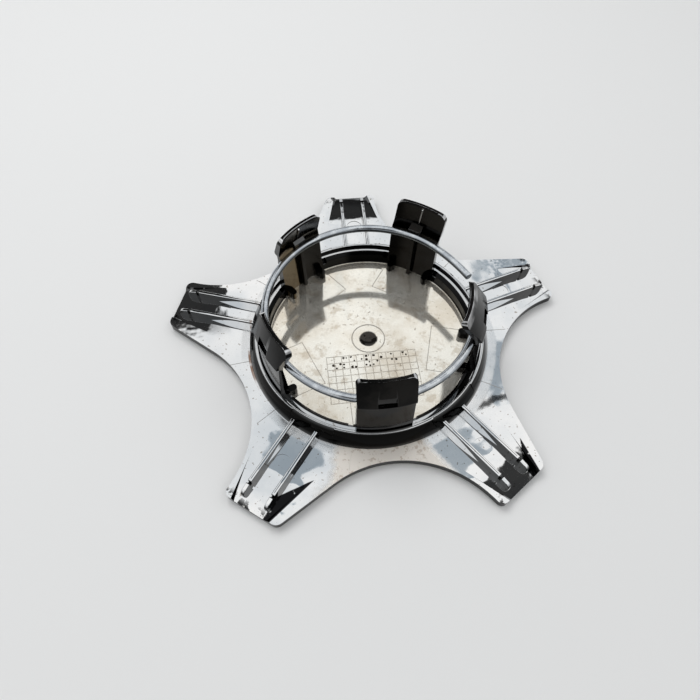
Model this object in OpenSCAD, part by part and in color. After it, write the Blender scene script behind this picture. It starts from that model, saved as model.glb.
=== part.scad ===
// Five-arm wheel centre cap, lying on its front face.
// The back is up: ribbed star plate, round collar, five clip legs and a sprung wire ring.
// Millimetres. The axis of the cap is Z and the front face rests on Z = 0.

/* [Star plate] */
// Distance from the axis to the straight end of an arm
tip_r = 67.2; // [50:0.1:100]
// Radius of the round hollow between two arms
hollow_r = 33.7; // [20:0.1:40]
// Distance from the axis to the middle of that hollow
hollow_at = 77.3; // [65:0.1:90]
// Angle from an arm to the middle of the hollow after it
hollow_turn = 38.3; // [34:0.1:42]
// Angle between the straight side of an arm and its centre line
flank_angle = 21; // [10:0.5:30]
// Radius of the tip corner on the straight side
corner_r = 2.5; // [0.5:0.1:5]
// Radius of the tip corner on the hollow side
corner_back_r = 2.0; // [0.5:0.1:5]
// Height of the upper face of the plate
plate_top = 3.5; // [2.5:0.1:8]
// Height of the lower face of the plate
plate_bottom = 1.1; // [0.4:0.1:4]

/* [Front field] */
// Radius of the raised round field that the cap rests on
field_r = 38.4; // [30:0.1:50]
// Width of the sloping edge of that field
field_edge = 1.0; // [0.2:0.1:3]

/* [Arm ends] */
// Distance from the axis at which the sunk end of an arm starts
sunk_start = 52; // [45:0.5:62]
// Depth of the sunk end at the tip
sunk_depth = 1.05; // [0.2:0.05:1.6]
// Half width of the sunk end where it starts
sunk_half_in = 9.9; // [5:0.1:12]
// Half width of the sunk end at the tip
sunk_half_out = 6.5; // [3:0.1:9]
// Angle of the side walls of the sunk end from upright
sunk_wall = 40; // [0:5:60]

/* [Ribs] */
// Distance of each rib from the centre line of its arm
rib_offset = 4.05; // [2:0.05:8]
// Thickness of a rib
rib_w = 1.2; // [0.6:0.05:3]
// Height of the upper edge of a rib at the collar
rib_top = 6.55; // [4:0.05:12]
// Fall of the upper edge from the collar to the notch
rib_fall = 0.3; // [0:0.05:2]
// Distance from the axis at which the long rib ends
rib_end = 60.9; // [50:0.1:70]
// Gap between the long rib and the nose in front of it
notch_w = 0.6; // [0.2:0.05:2]
// Distance from the axis at which the nose ends
nose_end = 64.9; // [58:0.1:72]
// Radius of the rounded end of the nose
nose_r = 1.7; // [0.4:0.1:2.5]

/* [Collar] */
// Radius of the foot of the collar
collar_foot_r = 39.4; // [34:0.1:60]
// Radius of the outer wall at the height of the ribs
collar_mid_r = 39.0; // [33:0.1:60]
// Radius of the outer edge of the rim
rim_out_r = 36.75; // [30:0.05:60]
// Radius of the inner edge of the lip that runs round the rim
rim_in_r = 36.25; // [28:0.05:59]
// Radius of the inner wall, which is also the radius of the cup floor
cup_r = 33.4; // [26:0.05:57]
// Height of the rim
rim_top = 9.2; // [6:0.1:20]
// Depth of the ledge inside that lip
ledge_drop = 1.1; // [0.2:0.05:2]
// Width of the slope from the ledge down to the inner wall
slope_w = 0.95; // [0.1:0.05:1.5]
// Height of that slope
slope_h = 0.8; // [0.1:0.05:1.5]
// Extra radius of the rim beside the legs
sector_step = 0.35; // [0:0.05:1]
// Half angle of the stretches of rim with that extra radius
sector_half = 23.5; // [15:0.5:35]
// Angle from the middle of a leg to the slot beside it
slot_at = 16.6; // [14:0.1:20]
// Width of the slot beside a leg
slot_w = 1.5; // [0.5:0.1:3]
// Height of the floor of that slot
slot_floor = 6.4; // [4:0.1:9]

/* [Clip legs] */
// Direction of each leg, in degrees round the axis
leg_at = [-88.5, -15.0, 57.2, 128.3, 202.4];
// How far the top of each leg is bent outwards
leg_out = [0.4, -2.8, 3.7, 0.0, 0.5];
// How far the top of each leg is bent sideways
leg_side = [0.0, -2.2, -1.2, 1.0, 3.1];
// Width of a leg
leg_w = 16.8; // [8:0.1:24]
// Height of the top of a leg
leg_top = 33.1; // [25:0.1:60]
// Radius of the rounded top corners of a leg
leg_corner = 2.4; // [0.5:0.1:6]
// Radius of the inner face at the cup floor
leg_in_foot = 32.8; // [25:0.05:50]
// Radius of the inner face at the height of the wire ring
leg_in_ring = 34.05; // [25:0.05:50]
// Radius of the inner face at the top
leg_in_top = 31.35; // [25:0.05:50]
// Radius of the outer face at the rim
leg_out_foot = 36.0; // [26:0.05:52]
// Radius of the outer face just below the barb
leg_out_neck = 35.2; // [26:0.05:52]
// Radius of the edge of the barb
barb_r = 36.2; // [28:0.05:56]
// Height of the underside of the barb
barb_z = 23.0; // [15:0.1:40]
// Radius of the outer face at the top
leg_out_top = 32.95; // [26:0.05:52]
// Width of the pocket in the barb
pocket_w = 5.3; // [2:0.1:10]
// Height of the pocket in the barb
pocket_h = 4.1; // [1:0.1:8]
// Distance from the axis to the bottom of the pocket
pocket_r = 35.0; // [30:0.05:50]
// Width of the hook over the wire
hook_w = 4.3; // [2:0.1:10]
// Distance from the axis to the tip of the hook
hook_r = 32.5; // [26:0.05:50]
// Thickness of the hook at its tip
hook_t = 0.9; // [0.5:0.1:3]
// Width of the upright rib under the wire
prop_w = 1.3; // [0.6:0.1:4]
// Distance from the axis to the edge of that rib
prop_r = 32.0; // [26:0.05:50]

/* [Feet of the legs] */
// Distance of each foot peg from the middle of its leg
peg_offset = 6.6; // [3:0.1:9]
// Radius of a foot peg
peg_r = 1.15; // [0.4:0.05:2]
// Height of a foot peg above the cup floor
peg_h = 2.6; // [0.5:0.1:5]
// Distance from the axis to the middle of a foot peg
peg_at = 30.3; // [25:0.1:40]

/* [Wire ring] */
// Radius of the ring, to the middle of the wire
ring_r = 32.2; // [25:0.05:50]
// Thickness of the wire
wire_d = 2.4; // [1:0.05:4]
// Height of the middle of the wire
ring_z = 21.9; // [12:0.1:40]
// Direction of the end that is tucked behind a leg
ring_from = -9; // [-30:1:10]
// Direction at which the free end starts to spring outwards
ring_bend = 39; // [20:1:60]
// Radius of the straighter free end
free_r = 60; // [40:1:120]
// Angle that the free end turns through
free_turn = 13.4; // [5:0.1:20]
// Extra thickness of the wire where its two bends meet
ball_extra = 0.06; // [0.02:0.01:0.2]

/* [Small marks] */
// Distance from the axis to the round mark on an arm
mark_at = 51; // [42:0.1:58]
// Radius of the round mark on an arm
mark_r = 2.75; // [1:0.05:5]
// Depth of the round mark and of the ring line on the floor
mark_depth = 0.15; // [0.05:0.05:0.5]
// Radius of the dimple in the middle of the floor
dimple_r = 3.15; // [1:0.05:6]
// Depth of the dimple
dimple_depth = 0.8; // [0.2:0.05:1.5]
// Radius of the ring line round the dimple
floor_ring_r = 5.45; // [3:0.05:12]

/* [Hidden] */
$fn = 120;
eps = 0.01;
arms = 5;
arm_step = 360 / arms;
arm_first = 90;

// The middle of the hollow after an arm, along and across that arm.
hollow_along = hollow_at * cos(hollow_turn);
hollow_across = hollow_at * sin(hollow_turn);
// The straight side of the arm touches the hollow here, and lies this far from the axis.
flank_along = hollow_along - hollow_r * sin(flank_angle);
flank_across = hollow_across - hollow_r * cos(flank_angle);
flank_dist = flank_along * sin(flank_angle) + flank_across * cos(flank_angle);
// The other side of the arm starts where the hollow before it runs parallel to the arm.
back_across = hollow_at * sin(arm_step - hollow_turn) - hollow_r;
// Middle of the tip corner on the straight side.
corner_along = tip_r - corner_r;
corner_across = (flank_dist - corner_r - corner_along * sin(flank_angle)) / cos(flank_angle);

sunk_len = tip_r + 1 - sunk_start;
sunk_R = pow(tip_r - sunk_start, 2) / (2 * sunk_depth);
sunk_dir = atan((sunk_half_in - sunk_half_out) / (tip_r - sunk_start));

// Outline of one arm lying along X, and of the hollow after it: two tip corners, then the hollow.
arm_edge = concat(
  [for (a = [-90 : 15 : 0]) [tip_r + corner_back_r * (cos(a) - 1), corner_back_r * (sin(a) + 1) - back_across]],
  [for (a = [0 : (90 - flank_angle) / 5 : 90.1 - flank_angle])
    [corner_along + corner_r * cos(a), corner_across + corner_r * sin(a)]],
  [for (t = [0 : 1 / 30 : 1.001])
    let (a = (1 - t) * (270 - flank_angle) + t * (90 + arm_step))
      [hollow_along + hollow_r * cos(a), hollow_across + hollow_r * sin(a)]]);

// The whole outline: the same edge five times round the axis.
module star_flat() {
  rotate(arm_first) polygon([for (k = [0 : arms - 1]) for (p = arm_edge)
    [p[0] * cos(k * arm_step) - p[1] * sin(k * arm_step), p[0] * sin(k * arm_step) + p[1] * cos(k * arm_step)]]);
}

// The sunk end of one arm: a floor that curves down towards the tip between sloping side walls.
module sunk_end() {
  intersection() {
    difference() {
      translate([sunk_start, -15, plate_top - 3]) cube([sunk_len, 30, 3 + eps]);
      translate([sunk_start, 0, plate_top - sunk_R]) rotate([90, 0, 0])
        cylinder(r = sunk_R, h = 40, center = true, $fn = 360);
    }
    sunk_side();
    mirror([0, 1, 0]) sunk_side();
  }
}

// Everything on the inner side of one sloping wall.
module sunk_side() {
  translate([sunk_start, sunk_half_in, plate_top]) rotate([0, 0, -sunk_dir]) rotate([-sunk_wall, 0, 0])
    translate([-10, -60, -20]) cube([60, 60, 40]);
}

// Side profile of one rib, from inside the collar to its rounded nose.
module rib_flat() {
  foot = plate_top - sunk_depth - 0.8;
  end_top = rib_top - rib_fall;
  polygon([[collar_mid_r - 2, foot], [collar_mid_r - 2, rib_top], [rib_end, end_top], [rib_end, foot]]);
  polygon([[rib_end - 1, foot], [rib_end - 1, end_top - 1.6], [nose_end, end_top - 1.6], [nose_end, foot]]);
  polygon([[rib_end + notch_w, foot], [rib_end + notch_w, end_top - 0.1],
    [nose_end - nose_r, end_top - 0.45], [nose_end - nose_r, foot]]);
  translate([nose_end - nose_r, end_top - 0.45 - nose_r]) circle(r = nose_r, $fn = 32);
}

module ribs() {
  for (s = [-1, 1]) translate([0, s * rib_offset + rib_w / 2, 0])
    rotate([90, 0, 0]) linear_extrude(rib_w) rib_flat();
}

module plate() {
  difference() {
    union() {
      translate([0, 0, plate_bottom]) linear_extrude(plate_top - plate_bottom) star_flat();
      cylinder(r1 = field_r - field_edge, r2 = field_r, h = plate_bottom + eps);
    }
    for (k = [0 : arms - 1]) rotate(arm_first + k * arm_step) {
      sunk_end();
      translate([mark_at, 0, plate_top - mark_depth]) cylinder(r = mark_r, h = 1, $fn = 48);
    }
    translate([0, 0, plate_top - dimple_depth + pow(dimple_r, 2) / (2 * dimple_depth) + dimple_depth / 2])
      sphere(r = pow(dimple_r, 2) / (2 * dimple_depth) + dimple_depth / 2, $fn = 48);
    rotate_extrude($fn = 72) translate([floor_ring_r - 0.15, plate_top - mark_depth]) square([0.3, 1]);
  }
}

// Section of the collar wall, as it is beside the legs.
module collar_flat() {
  out = rim_out_r + sector_step;
  polygon([[cup_r, plate_top - 1], [collar_foot_r, plate_top - 1], [collar_foot_r, plate_top],
    [collar_mid_r, rib_top - 0.3], [out + 0.3, rim_top - 0.45], [out, rim_top],
    [rim_in_r, rim_top], [rim_in_r - 0.1, rim_top - ledge_drop], [cup_r + slope_w, rim_top - ledge_drop],
    [cup_r, rim_top - ledge_drop - slope_h]]);
}

// Section of the thin layer that the rim lacks between the legs.
module layer_flat() {
  polygon([[collar_mid_r + 0.3, rib_top - 0.3], [rim_out_r + 0.3, rim_top - 0.45], [rim_out_r, rim_top],
    [rim_out_r, rim_top + 1], [collar_mid_r + 2, rim_top + 1], [collar_mid_r + 2, rib_top - 0.3]]);
}

module collar() {
  difference() {
    rotate_extrude() collar_flat();
    for (k = [0 : len(leg_at) - 1])
      let (next = k == len(leg_at) - 1 ? leg_at[0] + 360 : leg_at[k + 1])
        rotate(leg_at[k] + sector_half) rotate_extrude(angle = next - leg_at[k] - 2 * sector_half) layer_flat();
    for (a = leg_at) for (s = [-1, 1]) rotate(a + s * slot_at)
      translate([cup_r - 2, -slot_w / 2, slot_floor]) cube([3.4, slot_w, 10]);
  }
}

// Share of a leg's bend at a height. A leg is straight up to just below the wire ring.
bend_from = ring_z - 0.7;
function bend(z) = max(0, (z - bend_from) / (leg_top - bend_from));

// Section of a leg: inner face, top edge, barb and neck.
module leg_flat(out) {
  polygon([[leg_in_foot, plate_top - 1], [leg_in_ring + out * bend(ring_z), ring_z],
    [leg_in_ring + out * bend(ring_z + 2.6), ring_z + 2.6],
    [leg_in_top + out, leg_top - 0.6], [leg_in_top + out + 0.35, leg_top], [leg_out_top + out - 0.35, leg_top],
    [leg_out_top + out, leg_top - 0.6], [barb_r + out * bend(barb_z + 1.3), barb_z + 1.3],
    [barb_r + out * bend(barb_z + 0.3), barb_z + 0.3], [leg_out_neck + out * bend(barb_z), barb_z],
    [leg_out_foot, rim_top - 1], [leg_out_foot, plate_top - 1]]);
}

// Front view of a leg, with rounded top corners.
module leg_front(side) {
  h = leg_top - leg_corner;
  half = leg_w / 2;
  mid = half - leg_corner;
  polygon(concat([[-half, 0], [half, 0], [half, bend_from]],
    [for (a = [0 : 10 : 90]) [mid + side * bend(h) + leg_corner * cos(a), h + leg_corner * sin(a)]],
    [for (a = [90 : 10 : 180]) [side * bend(h) - mid + leg_corner * cos(a), h + leg_corner * sin(a)]],
    [[-half, bend_from]]));
}

// One leg, standing on the X axis.
module leg(out, side) {
  pocket_z = barb_z + 0.2 + pocket_h / 2;
  difference() {
    intersection() {
      rotate(-25) rotate_extrude(angle = 50) leg_flat(out);
      translate([24, 0, 0]) rotate([90, 0, 90]) linear_extrude(20) leg_front(side);
    }
    translate([pocket_r + out * bend(pocket_z), side * bend(pocket_z) - pocket_w / 2, barb_z + 0.2])
      cube([5, pocket_w, pocket_h]);
  }
  // Hook over the wire, with a sloping top.
  hook_z = ring_z + wire_d / 2 + 0.12;
  hook_top = ring_z + 3.4;
  translate([0, hook_w / 2, 0]) rotate([90, 0, 0]) linear_extrude(hook_w)
    polygon([[hook_r, hook_z], [leg_in_ring + 0.5 + out * bend(hook_z), hook_z],
      [leg_in_ring + 0.5 + out * bend(hook_top), hook_top], [leg_in_ring - 0.6 + out * bend(hook_top), hook_top - 0.2],
      [hook_r, ring_z + wire_d / 2 + hook_t]]);
  // Upright rib that the wire rests on.
  translate([0, prop_w / 2, 0]) rotate([90, 0, 0]) linear_extrude(prop_w)
    polygon([[prop_r - 0.9, plate_top - 0.5], [leg_in_ring + 0.4, plate_top - 0.5],
      [leg_in_ring + 0.4, ring_z - wire_d / 2 - 0.12], [prop_r + 0.4, ring_z - wire_d / 2 - 0.12],
      [prop_r, ring_z - wire_d / 2 - 0.9]]);
  // Thin line down the middle of the upper inner face.
  low = ring_z + 2.7;
  translate([0, 0, bend_from]) rotate([-atan(side / (leg_top - bend_from)), 0, 0]) translate([0, 0.3, -bend_from])
    rotate([90, 0, 0]) linear_extrude(0.6)
      polygon([[leg_in_ring - 0.35 + out * bend(low), low], [leg_in_ring + 0.5 + out * bend(low), low],
        [leg_in_top + out + 0.7, leg_top - 0.7], [leg_in_top + out - 0.25, leg_top - 1.4]]);
}

// A leg in its place, with a peg on each side of its foot.
module placed_leg(k) {
  rotate(leg_at[k]) {
    leg(leg_out[k], leg_side[k]);
    for (s = [-1, 1]) translate([peg_at, s * peg_offset, plate_top - 0.5]) {
      cylinder(r = peg_r, h = peg_h + 0.5, $fn = 24);
      translate([0, -peg_r, 0]) cube([3, 2 * peg_r, peg_h + 0.5]);
    }
  }
}

module star_cap() color([0.88, 0.89, 0.91]) {
  plate();
  for (k = [0 : arms - 1]) rotate(arm_first + k * arm_step) ribs();
  collar();
  for (k = [0 : arms - 1]) placed_leg(k);
}

// Open ring of round wire, with its free end sprung outwards.
// A ball a hair thicker than the wire joins the two bends.
module retaining_ring() color([0.62, 0.64, 0.67]) translate([0, 0, ring_z]) rotate(ring_bend) {
  rotate(0.1) rotate_extrude(angle = 360 + ring_from - ring_bend - 0.1)
    translate([ring_r, 0]) circle(d = wire_d, $fn = 40);
  translate([ring_r - free_r, 0, 0]) rotate(-free_turn) rotate_extrude(angle = free_turn - 0.05)
    translate([free_r, 0]) circle(d = wire_d, $fn = 40);
  translate([ring_r, 0, 0]) sphere(d = wire_d + ball_extra, $fn = 60);
}

star_cap();
retaining_ring();
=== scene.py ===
import bpy, math
from mathutils import Matrix, Vector


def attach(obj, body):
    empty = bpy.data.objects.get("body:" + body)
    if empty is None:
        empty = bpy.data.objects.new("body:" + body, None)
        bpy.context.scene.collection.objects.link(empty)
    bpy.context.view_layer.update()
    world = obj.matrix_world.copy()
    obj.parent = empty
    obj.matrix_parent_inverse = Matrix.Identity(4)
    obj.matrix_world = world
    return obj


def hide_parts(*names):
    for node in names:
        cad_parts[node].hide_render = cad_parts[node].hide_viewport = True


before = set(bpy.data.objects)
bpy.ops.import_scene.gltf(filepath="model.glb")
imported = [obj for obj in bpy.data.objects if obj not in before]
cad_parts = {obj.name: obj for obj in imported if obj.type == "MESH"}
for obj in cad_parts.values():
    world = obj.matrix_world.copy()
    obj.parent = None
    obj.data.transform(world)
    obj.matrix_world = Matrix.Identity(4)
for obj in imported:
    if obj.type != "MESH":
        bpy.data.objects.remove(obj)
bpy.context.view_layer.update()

# Sizes in millimetres, as in the part's source.
MM = 0.001
ARMS = 5
ARM_STEP = 72
ARM_AT = [90 + ARM_STEP * k for k in range(ARMS)]
TIP_R, HOLLOW_R, HOLLOW_AT, HOLLOW_TURN, FLANK = 67.2, 33.7, 77.3, 38.3, 21
CORNER_R, CORNER_BACK_R = 2.5, 2.0
PLATE_TOP, PLATE_BOTTOM = 3.5, 1.1
FIELD_R, FIELD_EDGE = 38.4, 1.0
SUNK_START, SUNK_DEPTH, SUNK_IN, SUNK_OUT, SUNK_WALL = 52, 1.05, 9.9, 6.5, 40
RIB_OFFSET, RIB_W, RIB_TOP, RIB_FALL, RIB_END = 4.05, 1.2, 6.55, 0.3, 60.9
NOTCH_W, NOSE_END, NOSE_R = 0.6, 64.9, 1.7
COLLAR_FOOT_R, COLLAR_MID_R, RIM_OUT_R, RIM_IN_R, CUP_R = 39.4, 39.0, 36.75, 36.25, 33.4
FILLET, SLOPE_W, SLOPE_H = 0.6, 0.95, 0.8
RIM_TOP, LEDGE, STEP, SECTOR, SLOT_AT, SLOT_W, SLOT_FLOOR = 9.2, 1.1, 0.35, 23.5, 16.6, 1.5, 6.4
LEG_AT = [-88.5, -15.0, 57.2, 128.3, 202.4]
LEG_OUT = [0.4, -2.8, 3.7, 0.0, 0.5]
LEG_SIDE = [0.0, -2.2, -1.2, 1.0, 3.1]
LEG_W, LEG_TOP, LEG_CORNER = 16.8, 33.1, 2.4
IN_FOOT, IN_RING, IN_TOP = 32.8, 34.05, 31.35
OUT_FOOT, OUT_NECK, BARB_R, BARB_Z, OUT_TOP = 36.0, 35.2, 36.2, 23.0, 32.95
POCKET_W, POCKET_H, POCKET_R = 5.3, 4.1, 35.0
HOOK_W, HOOK_R, HOOK_T, PROP_W, PROP_R = 4.3, 32.5, 0.9, 1.3, 32.0
PEG_OFFSET, PEG_R, PEG_H, PEG_AT = 6.6, 1.15, 2.6, 30.3
RING_R, WIRE_D, RING_Z, RING_FROM, RING_BEND, FREE_R, FREE_TURN = 32.2, 2.4, 21.9, -9, 39, 60, 13.4
MARK_AT, MARK_R, MARK_DEPTH = 51, 2.75, 0.15
DIMPLE_R, DIMPLE_DEPTH, FLOOR_RING_R = 3.15, 0.8, 5.45
BEND_FROM = RING_Z - 0.7


def cosd(a): return math.cos(math.radians(a))
def sind(a): return math.sin(math.radians(a))
def bend(z): return max(0, (z - BEND_FROM) / (LEG_TOP - BEND_FROM))


# Modelling steps, in the way they are done by hand.
def rest():
    if bpy.context.object and bpy.context.object.mode != "OBJECT":
        bpy.ops.object.mode_set(mode="OBJECT")
    bpy.ops.object.select_all(action="DESELECT")


def pick(*obs):
    rest()
    for ob in obs:
        ob.select_set(True)
    bpy.context.view_layer.objects.active = obs[0]
    return obs[0]


def named(name):
    ob = bpy.context.object
    ob.name = ob.data.name = name
    bpy.ops.object.transform_apply(location=True, rotation=True, scale=True)
    return ob


def box(name, low, high):
    rest()
    mid = [(a + b) / 2 * MM for a, b in zip(low, high)]
    bpy.ops.mesh.primitive_cube_add(size=1, location=mid)
    bpy.context.object.scale = [(b - a) * MM for a, b in zip(low, high)]
    return named(name)


def rod(name, r, low, high, at=(0, 0), n=96):
    rest()
    bpy.ops.mesh.primitive_cylinder_add(vertices=n, radius=r * MM, depth=(high - low) * MM,
                                        location=(at[0] * MM, at[1] * MM, (low + high) / 2 * MM))
    return named(name)


# A closed line through points, filled with one face. Points are millimetres in space.
def drawn(name, points):
    rest()
    bpy.ops.mesh.primitive_plane_add(size=MM, location=(0, 0, 0))
    bpy.ops.object.mode_set(mode="EDIT")
    bpy.ops.mesh.merge(type="CENTER")
    bpy.ops.transform.translate(value=[c * MM for c in points[0]])
    for a, b in zip(points, points[1:]):
        bpy.ops.mesh.extrude_vertices_move(TRANSFORM_OT_translate={"value": [(v - u) * MM for u, v in zip(a, b)]})
    bpy.ops.mesh.select_all(action="SELECT")
    bpy.ops.mesh.edge_face_add()
    bpy.ops.object.mode_set(mode="OBJECT")
    return named(name)


def pull(ob, move):
    pick(ob)
    bpy.ops.object.mode_set(mode="EDIT")
    bpy.ops.mesh.select_all(action="SELECT")
    bpy.ops.mesh.extrude_region_move(TRANSFORM_OT_translate={"value": [c * MM for c in move]})
    bpy.ops.mesh.select_all(action="SELECT")
    bpy.ops.mesh.normals_make_consistent(inside=False)
    bpy.ops.object.mode_set(mode="OBJECT")
    return ob


def spun(ob, angle, steps, centre=(0, 0, 0), whole=False, open_ends=False):
    pick(ob)
    bpy.ops.object.mode_set(mode="EDIT")
    bpy.ops.mesh.select_all(action="SELECT")
    if whole or open_ends:
        bpy.ops.mesh.delete(type="ONLY_FACE")
        bpy.ops.mesh.select_all(action="SELECT")
    bpy.ops.mesh.spin(steps=steps, angle=math.radians(-angle), center=[c * MM for c in centre], axis=(0, 0, 1))
    bpy.ops.mesh.select_all(action="SELECT")
    bpy.ops.mesh.remove_doubles(threshold=1e-6)
    bpy.ops.mesh.delete_loose()
    bpy.ops.mesh.select_all(action="SELECT")
    bpy.ops.mesh.normals_make_consistent(inside=False)
    bpy.ops.object.mode_set(mode="OBJECT")
    return ob


def turned(ob, angle):
    pick(ob)
    ob.matrix_world = Matrix.Rotation(math.radians(angle), 4, "Z")
    bpy.ops.object.transform_apply(location=True, rotation=True, scale=True)
    return ob


def copied(ob, angle):
    pick(ob)
    bpy.ops.object.duplicate()
    return turned(bpy.context.object, angle)


def joined(name, obs):
    pick(*obs)
    bpy.ops.object.join()
    return named(name)


def cut(ob, tool, how="DIFFERENCE"):
    mod = ob.modifiers.new("cut", "BOOLEAN")
    mod.object, mod.operation, mod.solver = tool, how, "EXACT"
    pick(ob)
    bpy.ops.object.modifier_apply(modifier=mod.name)
    bpy.data.objects.remove(tool, do_unlink=True)
    return ob


def rounded(ob, width, segments=2, angle=30):
    mod = ob.modifiers.new("round", "BEVEL")
    mod.width, mod.segments, mod.limit_method = width * MM, segments, "ANGLE"
    mod.angle_limit, mod.harden_normals = math.radians(angle), False
    pick(ob)
    bpy.ops.object.modifier_apply(modifier=mod.name)
    return smooth(ob)


def smooth(ob, angle=32):
    pick(ob)
    bpy.ops.object.shade_smooth_by_angle(angle=math.radians(angle))
    return ob


# Normals follow the large faces, so that a flat face mirrors flatly up to its rounded edges.
def flat_faces(ob):
    mod = ob.modifiers.new("flat", "WEIGHTED_NORMAL")
    mod.mode, mod.weight, mod.keep_sharp = "FACE_AREA", 100, True
    pick(ob)
    bpy.ops.object.modifier_apply(modifier=mod.name)
    return ob


# Outline of one arm along X and of the hollow after it.
def arm_edge():
    ha, hc = HOLLOW_AT * cosd(HOLLOW_TURN), HOLLOW_AT * sind(HOLLOW_TURN)
    dist = (ha - HOLLOW_R * sind(FLANK)) * sind(FLANK) + (hc - HOLLOW_R * cosd(FLANK)) * cosd(FLANK)
    back = HOLLOW_AT * sind(ARM_STEP - HOLLOW_TURN) - HOLLOW_R
    al = TIP_R - CORNER_R
    ac = (dist - CORNER_R - al * sind(FLANK)) / cosd(FLANK)
    edge = [(TIP_R + CORNER_BACK_R * (cosd(a) - 1), CORNER_BACK_R * (sind(a) + 1) - back) for a in range(-90, 1, 15)]
    edge += [(al + CORNER_R * cosd(69 * t / 5), ac + CORNER_R * sind(69 * t / 5)) for t in range(6)]
    for t in range(41):
        a = (1 - t / 40) * (270 - FLANK) + t / 40 * (90 + ARM_STEP)
        edge.append((ha + HOLLOW_R * cosd(a), hc + HOLLOW_R * sind(a)))
    return edge


# A cutter for the sunk end of an arm: its floor curves down to the tip between two sloping walls.
def sunk_tool():
    run = TIP_R - SUNK_START
    floor = [(SUNK_START + run * t / 7, 0, PLATE_TOP - SUNK_DEPTH * (t / 7) ** 2) for t in range(9)]
    ob = drawn("sunk", [(x, -15, z) for x, _, z in floor] + [(floor[-1][0], -15, 8), (SUNK_START, -15, 8)])
    pull(ob, (0, 30, 0))
    lean = math.atan2(SUNK_IN - SUNK_OUT, run)
    for s in (-1, 1):
        no = Matrix.Rotation(-s * lean, 3, "Z") @ Vector((0, s * cosd(SUNK_WALL), -sind(SUNK_WALL)))
        pick(ob)
        bpy.ops.object.mode_set(mode="EDIT")
        bpy.ops.mesh.select_all(action="SELECT")
        bpy.ops.mesh.bisect(plane_co=(SUNK_START * MM, s * SUNK_IN * MM, PLATE_TOP * MM), plane_no=no,
                            use_fill=True, clear_outer=True)
        bpy.ops.object.mode_set(mode="OBJECT")
    return ob


def star_plate():
    edge = arm_edge()
    line = [(x * cosd(a) - y * sind(a), x * sind(a) + y * cosd(a), PLATE_BOTTOM) for a in ARM_AT for x, y in edge]
    ob = pull(drawn("star_plate", line), (0, 0, PLATE_TOP - PLATE_BOTTOM))
    tool = sunk_tool()
    for a in ARM_AT:
        cut(ob, copied(tool, a))
        cut(ob, rod("mark", MARK_R, PLATE_TOP - MARK_DEPTH, 8, (MARK_AT * cosd(a), MARK_AT * sind(a)), 64))
    bpy.data.objects.remove(tool)
    ball = DIMPLE_R ** 2 / (2 * DIMPLE_DEPTH) + DIMPLE_DEPTH / 2
    cut(ob, sphere_tool(ball, PLATE_TOP - DIMPLE_DEPTH + ball))
    low, high = PLATE_TOP - MARK_DEPTH, PLATE_TOP + 1
    line = drawn("ring_line", [(x, 0, z) for x, z in ((FLOOR_RING_R - 0.15, low), (FLOOR_RING_R + 0.15, low),
                                                      (FLOOR_RING_R + 0.15, high), (FLOOR_RING_R - 0.15, high))])
    cut(ob, spun(line, 360, 96, whole=True))
    return rounded(ob, 0.35, 3)


# The round field that the cap rests on, under the plate.
def front_field():
    edge = [(0, 0, 0), (FIELD_R - FIELD_EDGE, 0, 0), (FIELD_R, 0, PLATE_BOTTOM + 0.1), (0, 0, PLATE_BOTTOM + 0.1)]
    return rounded(spun(drawn("front_field", edge), 360, 144, whole=True), 0.3, 2)


def sphere_tool(r, z):
    rest()
    bpy.ops.mesh.primitive_uv_sphere_add(segments=96, ring_count=96, radius=r * MM, location=(0, 0, z * MM))
    return named("ball")


# Side profile of a rib with its nose, set on both sides of the middle of an arm along X.
def rib_pair():
    foot, end = PLATE_TOP - SUNK_DEPTH - 0.8, RIB_TOP - RIB_FALL
    start = COLLAR_MID_R - 2
    low = end - 1.6
    nose = NOSE_END - NOSE_R
    line = [(start, foot), (start, RIB_TOP), (RIB_END, end), (RIB_END, low), (RIB_END + NOTCH_W, low),
            (RIB_END + NOTCH_W, end - 0.1)]
    line += [(nose + NOSE_R * sind(a), end - 0.45 - NOSE_R + NOSE_R * cosd(a)) for a in range(0, 91, 10)]
    line += [(NOSE_END, foot)]
    obs = []
    for s in (-1, 1):
        y = s * RIB_OFFSET - RIB_W / 2
        ob = drawn("rib", [(x, y, z) for x, z in line])
        obs.append(rounded(pull(ob, (0, RIB_W, 0)), 0.22, 3))
    return joined("rib_pair", obs)


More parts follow.
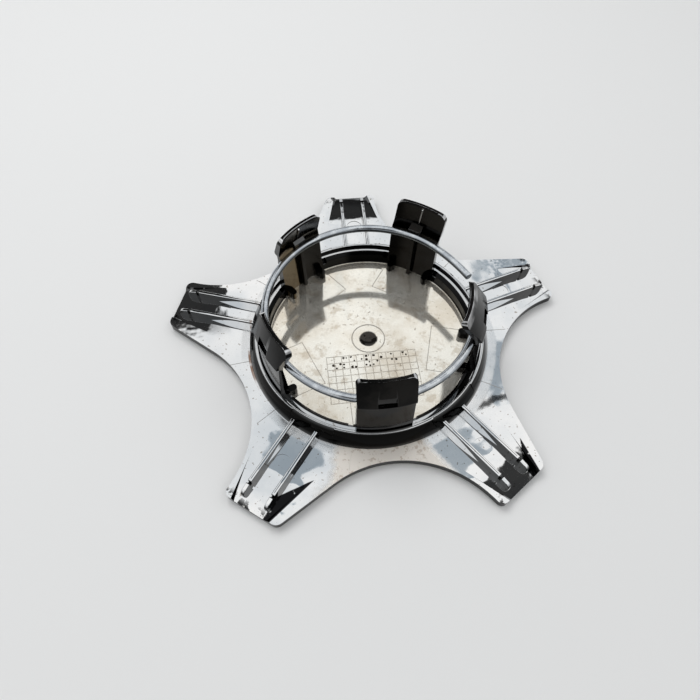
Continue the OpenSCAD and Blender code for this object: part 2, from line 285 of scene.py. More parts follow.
# The collar is spun in ten stretches: those beside the legs stand out a little further at the rim.
def collar():
    out = RIM_OUT_R + STEP
    foot = [(CUP_R - FILLET, PLATE_TOP - 1), (COLLAR_FOOT_R, PLATE_TOP - 1), (COLLAR_FOOT_R, PLATE_TOP),
            (COLLAR_MID_R, RIB_TOP - 0.3)]
    wide = [(out + 0.3, RIM_TOP - 0.45), (out, RIM_TOP), (RIM_OUT_R, RIM_TOP)]
    slim = [(RIM_OUT_R + 0.3, RIM_TOP - 0.45), (RIM_OUT_R, RIM_TOP)]
    inner = [(RIM_IN_R, RIM_TOP), (RIM_IN_R - 0.1, RIM_TOP - LEDGE), (CUP_R + SLOPE_W, RIM_TOP - LEDGE),
             (CUP_R, RIM_TOP - LEDGE - SLOPE_H)]
    inner += [(CUP_R - FILLET + FILLET * cosd(a), PLATE_TOP + 0.01 + FILLET - FILLET * sind(a)) for a in range(0, 91, 9)]
    obs = []
    for k, a in enumerate(LEG_AT):
        after = LEG_AT[0] + 360 if k == 4 else LEG_AT[k + 1]
        for line, start, angle in ((wide, a - SECTOR, 2 * SECTOR), (slim, a + SECTOR, after - a - 2 * SECTOR)):
            ob = drawn("stretch", [(x, 0, z) for x, z in foot + line + inner])
            obs.append(turned(spun(ob, angle, round(angle), open_ends=True), start))
    ob = joined("collar", obs)
    bpy.ops.object.mode_set(mode="EDIT")
    bpy.ops.mesh.select_all(action="SELECT")
    bpy.ops.mesh.remove_doubles(threshold=5e-6)
    bpy.ops.mesh.select_all(action="DESELECT")
    bpy.ops.mesh.select_mode(type="EDGE")
    bpy.ops.mesh.select_non_manifold()
    bpy.ops.mesh.fill_holes(sides=0)
    bpy.ops.mesh.select_mode(type="VERT")
    bpy.ops.mesh.select_all(action="SELECT")
    bpy.ops.mesh.normals_make_consistent(inside=False)
    bpy.ops.object.mode_set(mode="OBJECT")
    rounded(ob, 0.12, 3)
    for a in LEG_AT:
        for s in (-1, 1):
            slot = box("slot", (CUP_R - 2, -SLOT_W / 2, SLOT_FLOOR), (CUP_R + 1.4, SLOT_W / 2, 16))
            cut(ob, turned(slot, a + s * SLOT_AT))
    return smooth(ob)


# Section of a leg that leans outwards by out at its top.
def leg_section(out):
    mid = IN_RING + out * bend(RING_Z)
    return [(IN_FOOT, PLATE_TOP - 1), (mid, RING_Z), (IN_RING + out * bend(RING_Z + 2.6), RING_Z + 2.6),
            (IN_TOP + out, LEG_TOP - 0.6), (IN_TOP + out + 0.35, LEG_TOP), (OUT_TOP + out - 0.35, LEG_TOP),
            (OUT_TOP + out, LEG_TOP - 0.6), (BARB_R + out * bend(BARB_Z + 1.3), BARB_Z + 1.3),
            (BARB_R + out * bend(BARB_Z + 0.3), BARB_Z + 0.3), (OUT_NECK + out * bend(BARB_Z), BARB_Z),
            (OUT_FOOT, RIM_TOP - 1), (OUT_FOOT, PLATE_TOP - 1)]


# Front view of a leg that leans sideways by side at its top.
def leg_outline(side):
    h, half, mid = LEG_TOP - LEG_CORNER, LEG_W / 2, LEG_W / 2 - LEG_CORNER
    line = [(-half, 0), (half, 0), (half, BEND_FROM)]
    line += [(mid + side * bend(h) + LEG_CORNER * cosd(a), h + LEG_CORNER * sind(a)) for a in range(0, 91, 10)]
    line += [(side * bend(h) - mid + LEG_CORNER * cosd(a), h + LEG_CORNER * sind(a)) for a in range(90, 181, 10)]
    return line + [(-half, BEND_FROM)]


def slab(name, line, width, soft=0.15, middle=0):
    ob = pull(drawn(name, [(x, middle - width / 2, z) for x, z in line]), (0, width, 0))
    return rounded(ob, soft, 2)


def clip_leg(k):
    out, side = LEG_OUT[k], LEG_SIDE[k]
    ob = turned(spun(drawn("leg", [(x, 0, z) for x, z in leg_section(out)]), 50, 40), -25)
    cut(ob, pull(drawn("front", [(24, y, z) for y, z in leg_outline(side)]), (20, 0, 0)), "INTERSECT")
    pz = BARB_Z + 0.2 + POCKET_H / 2
    px, py = POCKET_R + out * bend(pz), side * bend(pz)
    cut(ob, box("pocket", (px, py - POCKET_W / 2, BARB_Z + 0.2), (px + 5, py + POCKET_W / 2, BARB_Z + 0.2 + POCKET_H)))
    rounded(ob, 0.3, 3, 25)
    hz, ht = RING_Z + WIRE_D / 2 + 0.12, RING_Z + 3.4
    hook = slab("hook", [(HOOK_R, hz), (IN_RING + 0.5 + out * bend(hz), hz), (IN_RING + 0.5 + out * bend(ht), ht),
                         (IN_RING - 0.6 + out * bend(ht), ht - 0.2), (HOOK_R, RING_Z + WIRE_D / 2 + HOOK_T)], HOOK_W)
    under = RING_Z - WIRE_D / 2
    prop = slab("prop", [(PROP_R - 0.9, PLATE_TOP - 0.5), (IN_RING + 0.4, PLATE_TOP - 0.5), (IN_RING + 0.4, under - 0.12),
                         (PROP_R + 0.4, under - 0.12), (PROP_R, under - 0.9)], PROP_W)
    low = RING_Z + 2.7
    mid = slab("middle", [(IN_RING - 0.35 + out * bend(low), low), (IN_RING + 0.5 + out * bend(low), low),
                          (IN_TOP + out + 0.7, LEG_TOP - 0.7), (IN_TOP + out - 0.25, LEG_TOP - 1.4)], 0.6)
    pick(mid)
    lean = Matrix.Rotation(-math.atan(side / (LEG_TOP - BEND_FROM)), 4, "X")
    up = Matrix.Translation((0, 0, BEND_FROM * MM))
    mid.matrix_world = up @ lean @ up.inverted()
    bpy.ops.object.transform_apply(location=True, rotation=True, scale=True)
    pegs = []
    for s in (-1, 1):
        peg = rod("peg", PEG_R, PLATE_TOP - 0.5, PLATE_TOP + PEG_H, (PEG_AT, s * PEG_OFFSET), 32)
        block = box("block", (PEG_AT, s * PEG_OFFSET - PEG_R, PLATE_TOP - 0.5),
                    (PEG_AT + 3, s * PEG_OFFSET + PEG_R, PLATE_TOP + PEG_H))
        pegs.append(rounded(cut(peg, block, "UNION"), 0.25, 3))
    return turned(joined(f"clip_leg_{k + 1}", [ob, hook, prop, mid] + pegs), LEG_AT[k])


# The wire starts at its free end, runs on a flatter curve and then round the ring.
def spring_ring():
    rest()
    mid = RING_R - FREE_R
    bpy.ops.mesh.primitive_circle_add(
        vertices=40, radius=WIRE_D / 2 * MM, fill_type="NGON",
        location=((mid + FREE_R * cosd(FREE_TURN)) * MM, -FREE_R * sind(FREE_TURN) * MM, RING_Z * MM),
        rotation=(math.pi / 2, 0, math.radians(-FREE_TURN)))
    ob = named("spring_ring")
    bpy.ops.object.mode_set(mode="EDIT")
    bpy.ops.mesh.select_all(action="SELECT")
    bpy.ops.mesh.spin(steps=12, angle=math.radians(-FREE_TURN), axis=(0, 0, 1), center=(mid * MM, 0, RING_Z * MM))
    bpy.ops.mesh.spin(steps=156, angle=math.radians(RING_BEND - RING_FROM - 360), axis=(0, 0, 1), center=(0, 0, RING_Z * MM))
    bpy.ops.mesh.select_all(action="SELECT")
    bpy.ops.mesh.normals_make_consistent(inside=False)
    bpy.ops.object.mode_set(mode="OBJECT")
    return turned(rounded(ob, 0.25, 3), RING_BEND)


parts = [star_plate(), front_field(), collar()]
first_pair = rib_pair()
for k, a in enumerate(ARM_AT):
    pair = copied(first_pair, a)
    pair.name = pair.data.name = f"rib_pair_{k + 1}"
    parts.append(pair)
bpy.data.objects.remove(first_pair)
parts += [clip_leg(k) for k in range(ARMS)]
for piece in parts:
    flat_faces(piece)
    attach(piece, "root")
    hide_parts("star_cap")

ring = spring_ring()
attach(ring, "root")
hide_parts("retaining_ring")

cam = bpy.data.cameras.new("camera")
cam.lens, cam.sensor_width, cam.clip_start = 29.7772, 36, 0.01
eye = bpy.data.objects.new("camera", cam)
bpy.context.collection.objects.link(eye)
eye.matrix_world = Matrix(((0.99601358, 0.07493389, -0.04839286, -0.01573788),
                           (-0.08918957, 0.84556079, -0.52637646, -0.10458960),
                           (0.00147567, 0.52859424, 0.84887334, 0.16564225), (0, 0, 0, 1)))
bpy.context.scene.camera = eye
bpy.context.scene.view_settings.view_transform = "Standard"

rest()
bpy.ops.mesh.primitive_plane_add(size=24, location=(0, 0, 0))
floor = named("floor")
mat = bpy.data.materials.new("pale_floor")
mat.use_nodes = True
mat.node_tree.nodes["Principled BSDF"].inputs["Base Color"].default_value = (0.78, 0.78, 0.78, 1)
mat.node_tree.nodes["Principled BSDF"].inputs["Roughness"].default_value = 0.8
floor.data.materials.append(mat)



# Short ways to add and join shader nodes.
class Tree:
    def __init__(self, owner):
        owner.use_nodes = True
        self.t = owner.node_tree
        self.coord = self.add("ShaderNodeTexCoord")

    def add(self, kind, **values):
        node = self.t.nodes.new(kind)
        for name, v in values.items():
            setattr(node, name, v)
        return node

    def put(self, socket, v):
        if isinstance(v, bpy.types.NodeSocket):
            self.t.links.new(v, socket)
        else:
            socket.default_value = v

    def math(self, how, a, b=0.0, c=0.0, clamp=False):
        node = self.add("ShaderNodeMath", operation=how, use_clamp=clamp)
        for socket, v in zip(node.inputs, (a, b, c)):
            self.put(socket, v)
        return node.outputs[0]

    def step(self, v, low, high, out_low=0.0, out_high=1.0):
        node = self.add("ShaderNodeMapRange", interpolation_type="SMOOTHSTEP")
        for name, x in (("Value", v), ("From Min", low), ("From Max", high), ("To Min", out_low), ("To Max", out_high)):
            self.put(node.inputs[name], x)
        return node.outputs["Result"]

    def mix(self, share, a, b, how="MIX"):
        node = self.add("ShaderNodeMix", data_type="RGBA", blend_type=how)
        self.put(node.inputs[0], share)
        for socket, v in ((node.inputs[6], a), (node.inputs[7], b)):
            self.put(socket, v if isinstance(v, bpy.types.NodeSocket) else (*v, 1))
        return node.outputs[2]

    def noise(self, scale, detail=4, rough=0.5, at=(0, 0, 0), size=(1, 1, 1), warp=0.0, where=None):
        place = self.add("ShaderNodeMapping")
        self.put(place.inputs["Vector"], where or self.coord.outputs["Object"])
        place.inputs["Location"].default_value, place.inputs["Scale"].default_value = at, size
        node = self.add("ShaderNodeTexNoise")
        self.put(node.inputs["Vector"], place.outputs[0])
        for name, v in (("Scale", scale), ("Detail", detail), ("Roughness", rough), ("Distortion", warp)):
            node.inputs[name].default_value = v
        return node.outputs["Fac"]

    def parts(self, v):
        node = self.add("ShaderNodeSeparateXYZ")
        self.put(node.inputs[0], v)
        return node.outputs

    def dot(self, v, w):
        node = self.add("ShaderNodeVectorMath", operation="DOT_PRODUCT")
        self.put(node.inputs[0], v)
        self.put(node.inputs[1], w)
        return node.outputs["Value"]


# 1 where a value is within half of a place, else 0.
def near_to(n, v, place, half, soft=0.25):
    off = n.math("ABSOLUTE", n.math("SUBTRACT", v, place))
    return n.step(off, half * (1 + soft), half * (1 - soft))


def way_to(azimuth, rise):
    return (cosd(rise) * cosd(azimuth), cosd(rise) * sind(azimuth), sind(rise))


# Blue-grey clouds in the tent: azimuth, rise and half width in degrees.
HAZE = [(100, 69.6, 3.0), (58.2, 65.0, 1.9), (58.5, 56.6, 2.9), (55.5, 58.2, 1.9), (62.0, 47.6, 2.6), (97, 66.5, 1.6), (79, 70, 1.5)]


# Studio world: a bright tent overhead with dark flags low down and in front, for polished metal to show.
def studio():
    world = bpy.data.worlds.new("studio")
    bpy.context.scene.world = world
    n = Tree(world)
    way = n.coord.outputs["Generated"]
    x, y, up = n.parts(way)[:3]
    flat = n.math("SQRT", n.math("MAXIMUM", n.math("SUBTRACT", 1.0, n.math("MULTIPLY", up, up)), 1e-4))
    soft = n.noise(3.0, 4, 0.5, where=way, at=(0.3, 0.1, 0.7))
    ragged = n.math("SUBTRACT", n.noise(14.0, 4, 0.55, where=way, at=(0.8, 0.2, 0.1)), 0.5)
    far = n.math("DIVIDE", n.dot(way, way_to(100, 0)), flat)
    left = n.math("DIVIDE", n.dot(way, way_to(200, 0)), flat)
    limit = n.math("ADD", n.step(far, 0.60, 0.86, 0.30, 0.68), n.step(left, cosd(98.5), cosd(94.5), 0.0, 0.125))
    edge = n.math("SUBTRACT", n.math("ADD", up, n.math("MULTIPLY", ragged, 0.04)), limit)
    light = n.math("MULTIPLY", n.step(edge, -0.012, 0.008, 0.03, 1.0), n.step(up, 0.46, 0.60, 0.40, 1.0))
    near = n.math("DIVIDE", n.dot(way, way_to(-98.6, 0)), flat)
    body = n.math("MULTIPLY", n.step(near, 0.84, 0.93), n.step(up, 0.93, 0.86))
    light = n.math("MULTIPLY", light, n.math("SUBTRACT", 1.0, n.math("MULTIPLY", body, 0.95)))
    wobble = n.math("MULTIPLY", ragged, 0.012)
    spot = n.math("ADD", n.dot(way, way_to(20, 65.5)), wobble)
    light = n.math("MULTIPLY", light, n.step(spot, cosd(5.0), cosd(6.2), 0.04, 1.0))
    across = Vector(way_to(59.2, 61.4)).cross(Vector(way_to(54.3, 59.0))).normalized()
    wiggle = n.math("SUBTRACT", n.noise(55.0, 4, 0.6, where=way, at=(0.2, 0.6, 0.4)), 0.5)
    strip = n.math("ADD", n.dot(way, tuple(across)), n.math("MULTIPLY", wiggle, 0.018))
    strip = n.math("MULTIPLY", near_to(n, strip, 0.0, 0.0048), n.step(n.dot(way, way_to(56.7, 60.2)), cosd(2.1), cosd(1.7)))
    light = n.math("MULTIPLY", light, n.math("SUBTRACT", 1.0, n.math("MULTIPLY", strip, 0.93)))
    haze = n.math("MULTIPLY", n.step(soft, 0.42, 0.60), 0.25)
    for azimuth, rise, width in HAZE:
        spot = n.math("ADD", n.dot(way, way_to(azimuth, rise)), n.math("MULTIPLY", ragged, 0.006))
        haze = n.math("MAXIMUM", haze, n.step(spot, cosd(width + 0.35), cosd(width - 0.35)))
    light = n.math("MULTIPLY", light, n.math("SUBTRACT", 1.0, n.math("MULTIPLY", haze, 0.55)))
    low = n.step(up, 0.50, 0.43)
    light = n.math("ADD", n.math("MULTIPLY", light, n.math("SUBTRACT", 1.0, low)), n.math("MULTIPLY", low, 0.60))
    back = n.t.nodes["Background"]
    n.put(back.inputs["Color"], n.mix(haze, (1.0, 1.0, 0.99), (0.80, 0.91, 1.0)))
    n.put(back.inputs["Strength"], light)


def soft_lamp():
    light = bpy.data.lights.new("soft_box", "AREA")
    light.shape, light.size, light.size_y, light.energy = "RECTANGLE", 0.4, 0.4, 1.7
    lamp = bpy.data.objects.new("soft_box", light)
    bpy.context.collection.objects.link(lamp)
    lamp.location = (-0.15, 0.25, 0.6)
    lamp.rotation_euler = (Vector((0, 0, 0)) - lamp.location).to_track_quat("-Z", "Y").to_euler()
    lamp.visible_glossy = False


def metal(name):
    mat = bpy.data.materials.new(name)
    n = Tree(mat)
    sh = n.t.nodes["Principled BSDF"]
    sh.inputs["Metallic"].default_value = 1
    return mat, n, sh


# Position turned so that its first part runs outwards in the given direction, in millimetres.
def turned_place(n, angle):
    turn = n.add("ShaderNodeMapping", vector_type="POINT")
    n.put(turn.inputs["Vector"], n.coord.outputs["Object"])
    turn.inputs["Rotation"].default_value = (0, 0, math.radians(-angle))
    turn.inputs["Scale"].default_value = (1000, 1000, 1000)
    return n.parts(turn.outputs[0])


# Small punched dots, at most one in each cell of the two rows of the grid next to the middle.
def punched_dots(n, u, v):
    size = 1.22
    cells, inner = [], []
    for part, start in ((u, 6.0), (v, -14.64)):
        share = n.math("DIVIDE", n.math("SUBTRACT", part, start), size)
        cells.append(n.math("FLOOR", share))
        inner.append(n.math("SUBTRACT", n.math("FRACT", share), 0.5))
    pair = n.add("ShaderNodeCombineXYZ")
    n.put(pair.inputs[0], cells[0])
    n.put(pair.inputs[1], cells[1])
    pick_one = n.add("ShaderNodeTexWhiteNoise", noise_dimensions="3D")
    n.put(pick_one.inputs["Vector"], pair.outputs[0])
    red, green, blue = n.parts(pick_one.outputs["Color"])[:3]
    away = [n.math("MULTIPLY", n.math("SUBTRACT", part, n.math("MULTIPLY", n.math("SUBTRACT", c, 0.5), 0.4)), size)
            for part, c in zip(inner, (green, blue))]
    off = n.math("SQRT", n.math("ADD", n.math("MULTIPLY", away[0], away[0]), n.math("MULTIPLY", away[1], away[1])))
    reach = n.math("ADD", 0.20, n.math("MULTIPLY", blue, 0.26))
    dot = n.math("MULTIPLY", n.step(n.math("SUBTRACT", off, reach), 0.05, -0.05), n.math("GREATER_THAN", red, 0.72))
    rows = n.math("MULTIPLY", near_to(n, u, 8.6, 2.2, 0.05), n.math("LESS_THAN", n.math("ABSOLUTE", v), 13.5))
    return n.math("MULTIPLY", dot, rows)


# Painted dark reflections in two sunk ends, shaped as wedges: arm, place along and across it, and how fast their two
# sides fall.
PAINTED_REFLECTION_WEDGES = [(234, 50.3, 11.1, 0.25, 0.68), (306, 56.5, 10.6, 0.34, 0.84)]


# Chrome on moulded plastic: bright on top, steep walls painted near-black as a painted dark reflection, cream and
# stained in the cup.
def chrome_plating(name, wall_painted_dark=1.0, dark_reflection_level=1.0, ribbed=False):
    mat, n, sh = metal(name)
    x, y, z = n.parts(n.coord.outputs["Object"])[:3]
    r = n.math("MULTIPLY", n.math("SQRT", n.math("ADD", n.math("MULTIPLY", x, x), n.math("MULTIPLY", y, y))), 1000)
    geo = n.add("ShaderNodeNewGeometry")
    rise = n.math("ABSOLUTE", n.parts(geo.outputs["Normal"])[2])
    blot = n.noise(55, 5, 0.6)
    fine = n.noise(420, 3, 0.6)
    inside = n.math("MULTIPLY", n.step(r, 33.5, 33.1), n.step(z, 0.0046, 0.0040))
    lines = n.math("MULTIPLY", near_to(n, r, FLOOR_RING_R, 0.16), inside)
    for k, a in enumerate(LEG_AT):
        u, v, _ = turned_place(n, a)[:3]
        width = n.math("ABSOLUTE", v)
        edge = n.math("MAXIMUM", n.math("MULTIPLY", near_to(n, u, 20.3, 0.09), n.step(width, 8.8, 8.6)),
                      n.math("MULTIPLY", near_to(n, width, 8.7, 0.09), n.math("GREATER_THAN", u, 20.3)))
        lines = n.math("MAXIMUM", lines, n.math("MULTIPLY", edge, inside))
        hair = near_to(n, n.math("DIVIDE", width, n.math("MAXIMUM", u, 0.1)), math.tan(math.radians(14.5)), 0.0022)
        hair = n.math("MULTIPLY", n.math("MULTIPLY", hair, n.math("GREATER_THAN", u, 30)), n.step(r, 46.6, 46.2))
        lines = n.math("MAXIMUM", lines, n.math("MULTIPLY", hair, n.math("GREATER_THAN", r, 39.3)))
        if k == 0:
            column = n.math("PINGPONG", n.math("ADD", v, 0.0), 1.22)
            row = n.math("PINGPONG", n.math("SUBTRACT", u, 6.0), 1.22)
            grid = n.math("MAXIMUM", near_to(n, column, 0.0, 0.10), near_to(n, row, 0.0, 0.10))
            field = n.math("MULTIPLY", n.math("LESS_THAN", width, 14.8),
                           n.math("MULTIPLY", n.math("GREATER_THAN", u, 5.9), n.math("LESS_THAN", u, 23.2)))
            grid = n.math("MULTIPLY", n.math("MULTIPLY", grid, field), inside)
            dots = n.math("MULTIPLY", punched_dots(n, u, v), inside)
    silver = n.mix(n.step(blot, 0.35, 0.65), (0.74, 0.76, 0.78), (0.87, 0.87, 0.87))
    stain = n.mix(n.step(n.noise(38, 6, 0.65, at=(3, 1, 2)), 0.40, 0.64), (0.98, 0.95, 0.87), (0.80, 0.73, 0.62))
    spots = n.step(n.noise(210, 5, 0.7, at=(2, 5, 1)), 0.50, 0.66)
    stain = n.mix(n.math("MULTIPLY", spots, 0.55), stain, (0.55, 0.46, 0.35))
    colour = n.mix(inside, silver, stain)
    colour = n.mix(n.math("MULTIPLY", lines, 0.55), colour, (0.30, 0.26, 0.22))
    colour = n.mix(n.math("MULTIPLY", grid, 0.45), colour, (0.36, 0.29, 0.22))
    speck = n.step(n.noise(900, 2, 0.5, at=(5, 3, 1)), 0.66, 0.72)
    colour = n.mix(n.math("MULTIPLY", speck, 0.6), colour, (0.22, 0.17, 0.12))
    colour = n.mix(dots, colour, (0.05, 0.035, 0.025))
    # A brown band, broken by noise, round the foot of the collar on its west side.
    west = n.step(n.math("DIVIDE", x, n.math("MULTIPLY", r, 0.001)), -0.90, -0.98)
    west_brown_band = n.math("MULTIPLY", n.math("MULTIPLY", near_to(n, r, 39.6, 0.45), west), n.step(n.noise(160, 4), 0.38, 0.55))
    colour = n.mix(n.math("MULTIPLY", west_brown_band, 0.85), colour, (0.20, 0.085, 0.03))
    south = n.math("ADD", n.math("MULTIPLY", x, cosd(-91)), n.math("MULTIPLY", y, sind(-91)))
    south = n.math("ADD", n.math("DIVIDE", south, n.math("MULTIPLY", r, 0.001)), n.math("MULTIPLY", n.math("SUBTRACT", blot, 0.5), 0.10))
    dull = n.math("MULTIPLY", n.math("MULTIPLY", n.step(south, 0.925, 0.95), n.step(r, 39.0, 39.4)), n.step(z, 0.0050, 0.0045))
    pits = n.step(n.noise(700, 3, 0.6, at=(2, 2, 7)), 0.56, 0.64)
    colour = n.mix(dull, colour, n.mix(n.math("MULTIPLY", pits, 0.5), (0.80, 0.75, 0.69), (0.40, 0.30, 0.22)))
    chip = n.math("MULTIPLY", n.step(r, 64.0, 67.0), n.step(n.noise(240, 4, 0.6, at=(1, 2, 3)), 0.56, 0.60))
    colour = n.mix(chip, colour, (0.03, 0.03, 0.03))
    # The dimple is painted near-black: painted shade in the hollow.
    colour = n.mix(n.math("MULTIPLY", n.step(r, 3.1, 2.7), inside), colour, (0.04, 0.035, 0.03))
    # On the collar the plating is painted darker overall, and its inner slope and two lines on the rim near-black:
    # painted dark reflection.
    if dark_reflection_level < 1:
        colour = n.mix(1.0, colour, (dark_reflection_level, dark_reflection_level, dark_reflection_level), "MULTIPLY")
        slope_dark_reflection = n.math("MULTIPLY", n.step(r, CUP_R + 1.4, CUP_R + 1.25), n.step(z, 0.0060, 0.0066))
        rim_dark_reflection_lines = n.math("MAXIMUM", near_to(n, r, RIM_IN_R - 0.15, 0.16), n.math("MULTIPLY", near_to(n, r, RIM_IN_R - 0.62, 0.07), 0.7))
        rim_dark_reflection_lines = n.math("MULTIPLY", rim_dark_reflection_lines, n.step(z, 0.0070, 0.0074))
        colour = n.mix(n.math("MAXIMUM", slope_dark_reflection, rim_dark_reflection_lines), colour, (0.012, 0.012, 0.012))
    band = 1.0
    if ribbed:
        # Only the upper part of each rib wall takes the painted dark reflection of steep faces.
        band = n.step(n.math("SUBTRACT", n.math("MULTIPLY", z, 1000), n.step(r, 44, RIB_END - 1, 5.7, 2.4)), -0.1, 0.1)
        for a in ARM_AT:
            u, v, _ = turned_place(n, a)[:3]
            # A painted shade line along the top of each rib.
            line = near_to(n, n.math("ABSOLUTE", v), RIB_OFFSET, 0.12)
            line = n.math("MULTIPLY", n.math("MULTIPLY", line, n.step(z, 0.0059, 0.0061)), n.step(u, RIB_END - 0.6, RIB_END - 1))
            colour = n.mix(n.math("MULTIPLY", line, 0.75), colour, (0.05, 0.05, 0.05))
            # The notch before each nose is painted black: painted shade in the recess.
            colour = n.mix(near_to(n, u, RIB_END + 0.35, 0.55, 0.15), colour, (0.01, 0.01, 0.01))
    else:
        # Near-black wedges in the sunk ends are painted dark reflections of the walls beside them.
        for a, start, side, outer, inner in PAINTED_REFLECTION_WEDGES:
            u, v, _ = turned_place(n, a)[:3]
            run = n.math("SUBTRACT", u, start)
            far_side = n.math("SUBTRACT", v, n.math("SUBTRACT", side, n.math("MULTIPLY", run, outer)))
            near_side = n.math("MAXIMUM", n.math("SUBTRACT", side, n.math("MULTIPLY", run, inner)), RIB_OFFSET + 0.5)
            near_side = n.math("ADD", n.math("SUBTRACT", v, near_side), n.math("MULTIPLY", n.math("SUBTRACT", blot, 0.5), 1.6))
            reflection_wedge = n.math("MULTIPLY", n.step(far_side, 0.12, -0.12), n.step(near_side, -0.15, 0.15))
            reflection_wedge = n.math("MULTIPLY", n.math("MULTIPLY", reflection_wedge, n.step(run, 0.0, 0.6)), n.math("GREATER_THAN", z, 0.0020))
            reflection_wedge = n.math("MULTIPLY", reflection_wedge, n.step(n.noise(230, 4, 0.6, at=(0, 7, 0)), 0.63, 0.58, 0.25, 1.0))
            colour = n.mix(reflection_wedge, colour, (0.012, 0.012, 0.013))
    # Steep faces are painted near-black: a painted dark reflection of the surroundings.
    steep_painted_dark = n.math("MULTIPLY", n.step(rise, 0.86, 0.55), band)
    colour = n.mix(n.math("MULTIPLY", steep_painted_dark, wall_painted_dark), colour, (0.008, 0.0078, 0.0075))
    n.put(sh.inputs["Base Color"], colour)
    rough = n.math("ADD", n.step(blot, 0.4, 0.7, 0.01, 0.04), n.math("MULTIPLY", fine, 0.02))
    rough = n.math("ADD", rough, n.math("MULTIPLY", inside, 0.05))
    plain = n.math("ADD", n.math("MULTIPLY", inside, 0.25), n.math("MULTIPLY", dull, 0.6))
    n.put(sh.inputs["Metallic"], n.math("SUBTRACT", 1.0, plain))
    hazy = n.math("MULTIPLY", near_to(n, r, 40.9, 1.5, 0.4), n.step(n.noise(45, 4, 0.6, at=(4, 4, 4)), 0.35, 0.6, 0.05, 0.18))
    rough = n.math("ADD", n.math("ADD", rough, hazy), n.math("MULTIPLY", dull, 0.30))
    n.put(sh.inputs["Roughness"], n.math("ADD", rough, n.math("MULTIPLY", dots, 0.4)))
    wave = n.add("ShaderNodeBump")
    wave.inputs["Strength"].default_value, wave.inputs["Distance"].default_value = 1.0, 0.001
    height = n.math("MULTIPLY", n.noise(30, 1.5, 0.4), 0.10)
    ends = n.math("MULTIPLY", n.noise(150, 2, 0.5, at=(1, 0, 6)), n.step(r, 50, 58, 0.0, 0.085))
    height = n.math("ADD", height, ends)
    height = n.math("SUBTRACT", height, n.math("MULTIPLY", n.math("MAXIMUM", lines, grid), 0.06))
    height = n.math("SUBTRACT", height, n.math("MULTIPLY", dots, 0.25))
    n.put(wave.inputs["Height"], n.math("ADD", height, n.math("MULTIPLY", n.noise(600, 3, 0.6), 0.0012)))
    n.put(sh.inputs["Normal"], wave.outputs[0])
    return mat


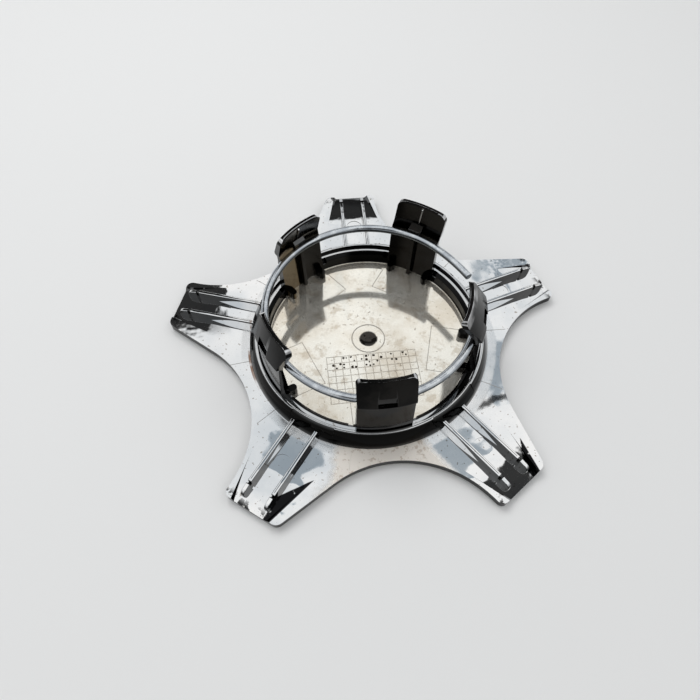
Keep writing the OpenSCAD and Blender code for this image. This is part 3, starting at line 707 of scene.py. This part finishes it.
# The clip legs are almost black, with painted highlights on their top edges, hook faces and one middle line, and a
# painted floor reflection on one leg.
def dark_chrome():
    mat, n, sh = metal("dark_chrome")
    z = n.math("MULTIPLY", n.parts(n.coord.outputs["Object"])[2], 1000)
    geo = n.add("ShaderNodeNewGeometry")
    rise = n.parts(geo.outputs["Normal"])[2]
    # Rounded top edges are painted bright, broken by noise: a painted highlight.
    edge = n.math("MULTIPLY", n.step(z, LEG_TOP - 2.6, LEG_TOP - 2.0), near_to(n, rise, 0.72, 0.17))
    edge = n.math("MULTIPLY", edge, n.step(n.noise(130, 3, at=(2, 2, 2)), 0.40, 0.55))
    blot = n.noise(90, 5, 0.6)
    dark = n.mix(n.step(blot, 0.4, 0.62), (0.006, 0.006, 0.006), (0.016, 0.015, 0.014))
    facing = n.dot(geo.outputs["Normal"], n.coord.outputs["Object"])
    inner = n.step(facing, -0.012, -0.024)
    dark = n.mix(n.math("MULTIPLY", inner, 0.7), dark, (0.012, 0.011, 0.010))
    # Hook faces are painted light grey: a painted highlight.
    hook = n.math("MULTIPLY", near_to(n, z, RING_Z + 2.3, 1.3), n.math("MULTIPLY", n.step(rise, 0.5, 0.6), n.step(rise, 0.85, 0.8)))
    dark = n.mix(hook, dark, (0.17, 0.17, 0.17))
    # A light line down the middle of one leg's inner face: a painted highlight.
    across, height = turned_place(n, LEG_AT[2])[1], n.math("SUBTRACT", z, BEND_FROM)
    across = n.math("SUBTRACT", across, n.math("MULTIPLY", height, LEG_SIDE[2] / (LEG_TOP - BEND_FROM)))
    line = n.math("MULTIPLY", near_to(n, across, 0.0, 0.28), n.step(z, RING_Z + 2.9, RING_Z + 3.1))
    dark = n.mix(n.math("MULTIPLY", line, inner), dark, (0.16, 0.16, 0.16))
    # Brown on part of one leg's inner face: a painted reflection of the cup floor.
    u, v, _ = turned_place(n, LEG_AT[3])[:3]
    painted_floor_reflection = n.math("MULTIPLY", n.math("MULTIPLY", n.step(v, 0.5, 1.2), n.step(u, 20, 25)), n.step(n.math("ABSOLUTE", v), 9.5, 8))
    dark = n.mix(n.math("MULTIPLY", inner, painted_floor_reflection), dark, (0.11, 0.085, 0.052))
    n.put(sh.inputs["Base Color"], n.mix(edge, dark, (0.80, 0.80, 0.81)))
    n.put(sh.inputs["Roughness"], n.math("ADD", n.step(blot, 0.4, 0.7, 0.07, 0.16), n.math("MULTIPLY", n.noise(500, 3), 0.05)))
    wave = n.add("ShaderNodeBump")
    wave.inputs["Strength"].default_value, wave.inputs["Distance"].default_value = 1.0, 0.001
    n.put(wave.inputs["Height"], n.math("MULTIPLY", n.noise(60, 3, 0.5), 0.10))
    n.put(sh.inputs["Normal"], wave.outputs[0])
    return mat


def spring_steel():
    mat, n, sh = metal("spring_steel")
    spots = n.noise(260, 5, 0.65)
    zinc = n.mix(n.step(spots, 0.4, 0.65), (0.48, 0.51, 0.55), (0.76, 0.79, 0.82))
    rise = n.parts(n.add("ShaderNodeNewGeometry").outputs["Normal"])[2]
    # Sides and underside of the wire are painted dark: a painted dark reflection.
    n.put(sh.inputs["Base Color"], n.mix(n.step(rise, 0.72, 0.30), zinc, (0.085, 0.095, 0.105)))
    n.put(sh.inputs["Roughness"], n.step(spots, 0.35, 0.7, 0.16, 0.30))
    return mat


studio()
soft_lamp()
legs = [ob for ob in parts if ob.name.startswith("clip_leg")]
ribs = [ob for ob in parts if ob.name.startswith("rib_pair")]
for group, mat in ((parts, chrome_plating("chrome_plating")), (ribs, chrome_plating("rib_chrome", 0.97, ribbed=True)),
                   (parts[2:3], chrome_plating("collar_chrome", 1.0, 0.75)), (legs, dark_chrome()),
                   ([ring], spring_steel())):
    for piece in group:
        piece.data.materials.clear()
        piece.data.materials.append(mat)
